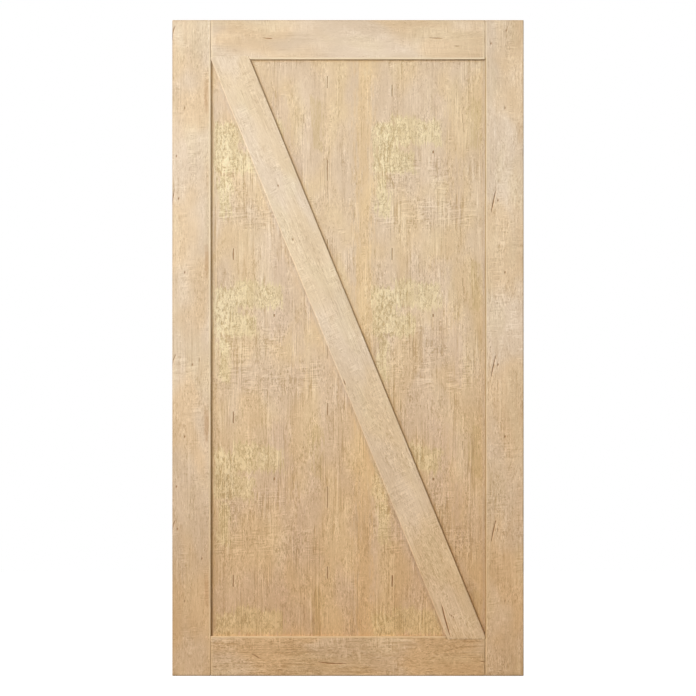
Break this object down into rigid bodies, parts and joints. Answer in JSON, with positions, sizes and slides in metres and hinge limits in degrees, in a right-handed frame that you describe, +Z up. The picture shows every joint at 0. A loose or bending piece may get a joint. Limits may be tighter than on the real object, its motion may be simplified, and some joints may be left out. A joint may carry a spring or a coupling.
{
  "type": "sliding door leaf",
  "caption": "Wooden sliding door leaf with a jointed frame, a flat recessed panel and a diagonal brace on each face, hung from its top edge.",
  "frame": {"origin": "middle of the flat top edge, half way through the thickness, where the door hangs from its hangers", "axes": "+Z up, +X to the right and +Y away from the viewer, seen from the front; the front face is at -Y"},
  "size_m": [1.143, 0.035, 2.134],
  "materials": {
    "frame_wood": "matte",
    "panel_wood": "matte",
    "brace_wood": "matte"
  },
  "bodies": {
    "root": {"left_stile": "frame_wood", "right_stile": "frame_wood", "top_rail": "frame_wood", "bottom_rail": "frame_wood", "panel": "panel_wood", "front_brace": "brace_wood", "back_brace": "brace_wood"}
  },
  "joints": []
}
